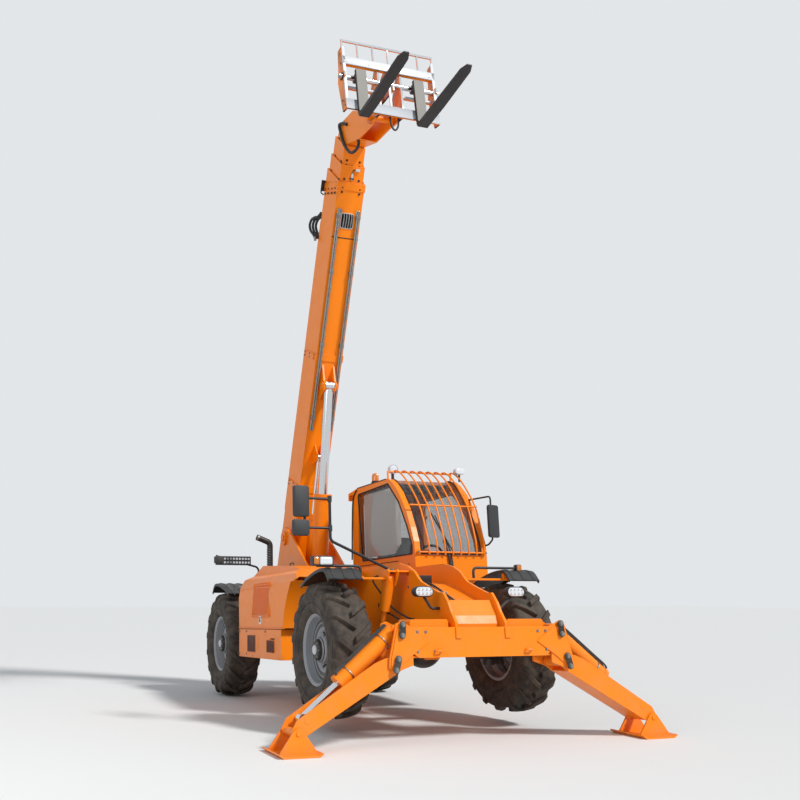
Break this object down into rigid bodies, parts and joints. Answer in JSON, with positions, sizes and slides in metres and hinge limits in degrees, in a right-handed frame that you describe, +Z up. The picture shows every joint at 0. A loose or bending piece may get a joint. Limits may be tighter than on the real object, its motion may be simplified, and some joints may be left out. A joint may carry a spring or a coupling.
{
  "type": "telehandler",
  "caption": "Wheeled telescopic handler with a raised boom, pallet forks, side cab, engine pod and lowered front stabilisers.",
  "frame": {"origin": "on the ground, below the middle of the machine's box", "axes": "+X to the driver's left, -Y forwards, +Z up"},
  "size_m": [3.848, 5.417, 7.5515],
  "materials": {
    "orange_paint": "gloss paint",
    "black_paint": "satin paint",
    "grey_paint": "satin paint",
    "tyre_rubber": "dusty rubber",
    "black_plastic": "moulded grain",
    "window_glass": "tinted",
    "chromed_rod": "polished",
    "forged_black": "worn black paint",
    "seat_fabric": "woven",
    "zinc_pipe": "zinc plated",
    "lamp_housing": "gloss"
  },
  "bodies": {
    "root": {"chassis_frame": "orange_paint", "front_axle": "black_paint", "rear_axle": "black_paint", "stabiliser_beam": "orange_paint", "cylinder_feet": "orange_paint", "cab_shell": "orange_paint", "cab_glass": "window_glass", "cab_guard": "orange_paint", "driver_seat": "seat_fabric", "cab_console": "black_plastic", "engine_pod": "orange_paint", "engine_block": "black_paint", "counterweight": "orange_paint", "fenders": "black_plastic", "side_tank": "black_plastic", "step_box": "black_plastic", "exhaust": "black_paint", "frame_lamps": "lamp_housing", "roof_lamps": "lamp_housing", "mirrors": "black_plastic", "sway_cylinder": "orange_paint"},
    "knuckle_front_left": {"knuckle_front_left": "black_paint"},
    "wheel_front_left": {"tyre_front_left": "tyre_rubber", "rim_front_left": "grey_paint"},
    "knuckle_front_right": {"knuckle_front_right": "black_paint"},
    "wheel_front_right": {"tyre_front_right": "tyre_rubber", "rim_front_right": "grey_paint"},
    "knuckle_rear_left": {"knuckle_rear_left": "black_paint"},
    "wheel_rear_left": {"tyre_rear_left": "tyre_rubber", "rim_rear_left": "grey_paint"},
    "knuckle_rear_right": {"knuckle_rear_right": "black_paint"},
    "wheel_rear_right": {"tyre_rear_right": "tyre_rubber", "rim_rear_right": "grey_paint"},
    "boom": {"boom_base": "orange_paint", "boom_pipes": "zinc_pipe"},
    "boom_2": {"boom_section_2": "orange_paint"},
    "boom_3": {"boom_section_3": "orange_paint"},
    "boom_4": {"boom_head": "orange_paint"},
    "lift_barrel": {"lift_barrel": "orange_paint"},
    "lift_rod": {"lift_rod": "chromed_rod"},
    "level_barrel": {"level_barrel": "orange_paint"},
    "level_rod": {"level_rod": "chromed_rod"},
    "carriage": {"fork_carriage": "orange_paint"},
    "tilt_barrel": {"tilt_barrel": "orange_paint"},
    "tilt_rod": {"tilt_rod": "chromed_rod"},
    "fork_right": {"fork_right": "forged_black"},
    "fork_left": {"fork_left": "forged_black"},
    "stabiliser_leg_left": {"stabiliser_leg_left": "orange_paint"},
    "stabiliser_barrel_left": {"stabiliser_barrel_left": "orange_paint"},
    "stabiliser_rod_left": {"stabiliser_rod_left": "chromed_rod"},
    "stabiliser_pad_left": {"stabiliser_pad_left": "orange_paint"},
    "stabiliser_leg_right": {"stabiliser_leg_right": "orange_paint"},
    "stabiliser_barrel_right": {"stabiliser_barrel_right": "orange_paint"},
    "stabiliser_rod_right": {"stabiliser_rod_right": "chromed_rod"},
    "stabiliser_pad_right": {"stabiliser_pad_right": "orange_paint"},
    "door": {"cab_door": "orange_paint", "door_glass": "window_glass"},
    "bonnet": {"bonnet": "orange_paint"}
  },
  "joints": [
    {"name": "steer_front_left", "type": "hinge", "parent": "root", "child": "knuckle_front_left", "pos_m": [0.735, -1.46827, 0.74833], "axis": [0, 0.0356, 0.9994], "range_deg": [-35, 35]},
    {"name": "spin_front_left", "type": "hinge", "parent": "knuckle_front_left", "child": "wheel_front_left", "pos_m": [0.972, -1.46827, 0.74833], "axis": [1, 0, 0], "continuous": true},
    {"name": "steer_front_right", "type": "hinge", "parent": "root", "child": "knuckle_front_right", "pos_m": [-0.735, -1.46827, 0.74833], "axis": [0, 0.0356, 0.9994], "range_deg": [-35, 35]},
    {"name": "spin_front_right", "type": "hinge", "parent": "knuckle_front_right", "child": "wheel_front_right", "pos_m": [-0.972, -1.46827, 0.74833], "axis": [1, 0, 0], "continuous": true},
    {"name": "steer_rear_left", "type": "hinge", "parent": "root", "child": "knuckle_rear_left", "pos_m": [0.735, 1.79766, 0.632], "axis": [0, 0.0356, 0.9994], "range_deg": [-35, 35]},
    {"name": "spin_rear_left", "type": "hinge", "parent": "knuckle_rear_left", "child": "wheel_rear_left", "pos_m": [0.972, 1.79766, 0.632], "axis": [1, 0, 0], "continuous": true},
    {"name": "steer_rear_right", "type": "hinge", "parent": "root", "child": "knuckle_rear_right", "pos_m": [-0.735, 1.79766, 0.632], "axis": [0, 0.0356, 0.9994], "range_deg": [-35, 35]},
    {"name": "spin_rear_right", "type": "hinge", "parent": "knuckle_rear_right", "child": "wheel_rear_right", "pos_m": [-0.972, 1.79766, 0.632], "axis": [1, 0, 0], "continuous": true},
    {"name": "boom_lift", "type": "hinge", "parent": "root", "child": "boom", "pos_m": [0, 1.8313, 1.96965], "axis": [-1, 0, 0], "range_deg": [-70.9, 2.6]},
    {"name": "telescope_2", "type": "slide", "parent": "boom", "child": "boom_2", "axis": [0, -0.3512, 0.9363], "range_m": [0, 3.5]},
    {"name": "telescope_3", "type": "slide", "parent": "boom_2", "child": "boom_3", "axis": [0, -0.3512, 0.9363], "range_m": [0, 3.5]},
    {"name": "telescope_4", "type": "slide", "parent": "boom_3", "child": "boom_4", "axis": [0, -0.3512, 0.9363], "range_m": [0, 3.5]},
    {"name": "lift_barrel_swing", "type": "hinge", "parent": "root", "child": "lift_barrel", "pos_m": [0, 1.3717, 0.86531], "axis": [-1, 0, 0], "range_deg": [-53.7, 1.98]},
    {"name": "lift_rod_slide", "type": "slide", "parent": "lift_barrel", "child": "lift_rod", "axis": [0, -0.1532, 0.9882], "range_m": [-1.19356, 0.04396]},
    {"name": "level_barrel_swing", "type": "hinge", "parent": "root", "child": "level_barrel", "pos_m": [0, 1.67466, 1.50493], "axis": [-1, 0, 0], "range_deg": [-59.91, 2.21]},
    {"name": "level_rod_slide", "type": "slide", "parent": "level_barrel", "child": "level_rod", "axis": [0, -0.2684, 0.9633], "range_m": [-0.5145, 0.01906]},
    {"name": "carriage_level", "type": "hinge", "parent": "boom_4", "child": "carriage", "pos_m": [0, -0.7857, 6.73583], "axis": [-1, 0, 0], "range_deg": [-2.61, 70.91]},
    {"name": "tilt_barrel_swing", "type": "hinge", "parent": "boom_4", "child": "tilt_barrel", "pos_m": [0, 0.15622, 6.82569], "axis": [-1, 0, 0], "range_deg": [-15.01, 0.56]},
    {"name": "tilt_rod_slide", "type": "slide", "parent": "tilt_barrel", "child": "tilt_rod", "axis": [0, -0.9791, 0.2034], "range_m": [-0.25241, 0.00945]},
    {"name": "fork_right_slide", "type": "slide", "parent": "carriage", "child": "fork_right", "axis": [1, 0, 0], "range_m": [-0.1045, 0.1775]},
    {"name": "fork_left_slide", "type": "slide", "parent": "carriage", "child": "fork_left", "axis": [1, 0, 0], "range_m": [-0.1075, 0.1745]},
    {"name": "stabiliser_lift_left", "type": "hinge", "parent": "root", "child": "stabiliser_leg_left", "pos_m": [0.85, -2.46009, 0.6866], "axis": [0, -0.9994, 0.0356], "range_deg": [-6, 82]},
    {"name": "stabiliser_barrel_swing_left", "type": "hinge", "parent": "root", "child": "stabiliser_barrel_left", "pos_m": [0.792, -2.45005, 0.96842], "axis": [0, -0.9994, 0.0356], "range_deg": [-5.64, 76.95]},
    {"name": "stabiliser_rod_slide_left", "type": "slide", "parent": "stabiliser_barrel_left", "child": "stabiliser_rod_left", "axis": [0.7741, -0.0225, -0.6327], "range_m": [-0.36947, 0.02722]},
    {"name": "stabiliser_pad_swing_left", "type": "hinge", "parent": "stabiliser_leg_left", "child": "stabiliser_pad_left", "pos_m": [1.734, -2.4785, 0.16993], "axis": [0, -0.9994, 0.0356], "range_deg": [-30, 20]},
    {"name": "stabiliser_lift_right", "type": "hinge", "parent": "root", "child": "stabiliser_leg_right", "pos_m": [-0.85, -2.46009, 0.6866], "axis": [0, 0.9994, -0.0356], "range_deg": [-6, 82]},
    {"name": "stabiliser_barrel_swing_right", "type": "hinge", "parent": "root", "child": "stabiliser_barrel_right", "pos_m": [-0.792, -2.45005, 0.96842], "axis": [0, 0.9994, -0.0356], "range_deg": [-5.64, 76.95]},
    {"name": "stabiliser_rod_slide_right", "type": "slide", "parent": "stabiliser_barrel_right", "child": "stabiliser_rod_right", "axis": [-0.7741, -0.0225, -0.6327], "range_m": [-0.36947, 0.02722]},
    {"name": "stabiliser_pad_swing_right", "type": "hinge", "parent": "stabiliser_leg_right", "child": "stabiliser_pad_right", "pos_m": [-1.734, -2.4785, 0.16993], "axis": [0, 0.9994, -0.0356], "range_deg": [-30, 20]},
    {"name": "door_hinge", "type": "hinge", "parent": "root", "child": "door", "pos_m": [1.17, 0.57179, 1.44415], "axis": [0, 0.0356, 0.9994], "range_deg": [0, 80]},
    {"name": "bonnet_hinge", "type": "hinge", "parent": "root", "child": "bonnet", "pos_m": [-0.29, 0.19495, 1.53963], "axis": [0, 0.9994, -0.0356], "range_deg": [0, 70]}
  ],
  "couplings": [
    {"joint": "steer_front_right", "follows": "steer_front_left", "ratio": 1},
    {"joint": "steer_rear_right", "follows": "steer_rear_left", "ratio": 1},
    {"joint": "telescope_3", "follows": "telescope_2", "ratio": 1},
    {"joint": "telescope_4", "follows": "telescope_2", "ratio": 1},
    {"joint": "lift_barrel_swing", "follows": "boom_lift", "ratio": 0.75724},
    {"joint": "lift_rod_slide", "follows": "boom_lift", "m_per_rad": 0.96438},
    {"joint": "level_barrel_swing", "follows": "boom_lift", "ratio": 0.84483},
    {"joint": "level_rod_slide", "follows": "boom_lift", "m_per_rad": 0.41562},
    {"joint": "carriage_level", "follows": "boom_lift", "ratio": -1},
    {"joint": "tilt_barrel_swing", "follows": "boom_lift", "ratio": 0.21159},
    {"joint": "tilt_rod_slide", "follows": "boom_lift", "m_per_rad": 0.20382},
    {"joint": "stabiliser_barrel_swing_left", "follows": "stabiliser_lift_left", "ratio": 0.93833},
    {"joint": "stabiliser_rod_slide_left", "follows": "stabiliser_lift_left", "m_per_rad": -0.25802},
    {"joint": "stabiliser_barrel_swing_right", "follows": "stabiliser_lift_right", "ratio": 0.93833},
    {"joint": "stabiliser_rod_slide_right", "follows": "stabiliser_lift_right", "m_per_rad": -0.25802}
  ]
}
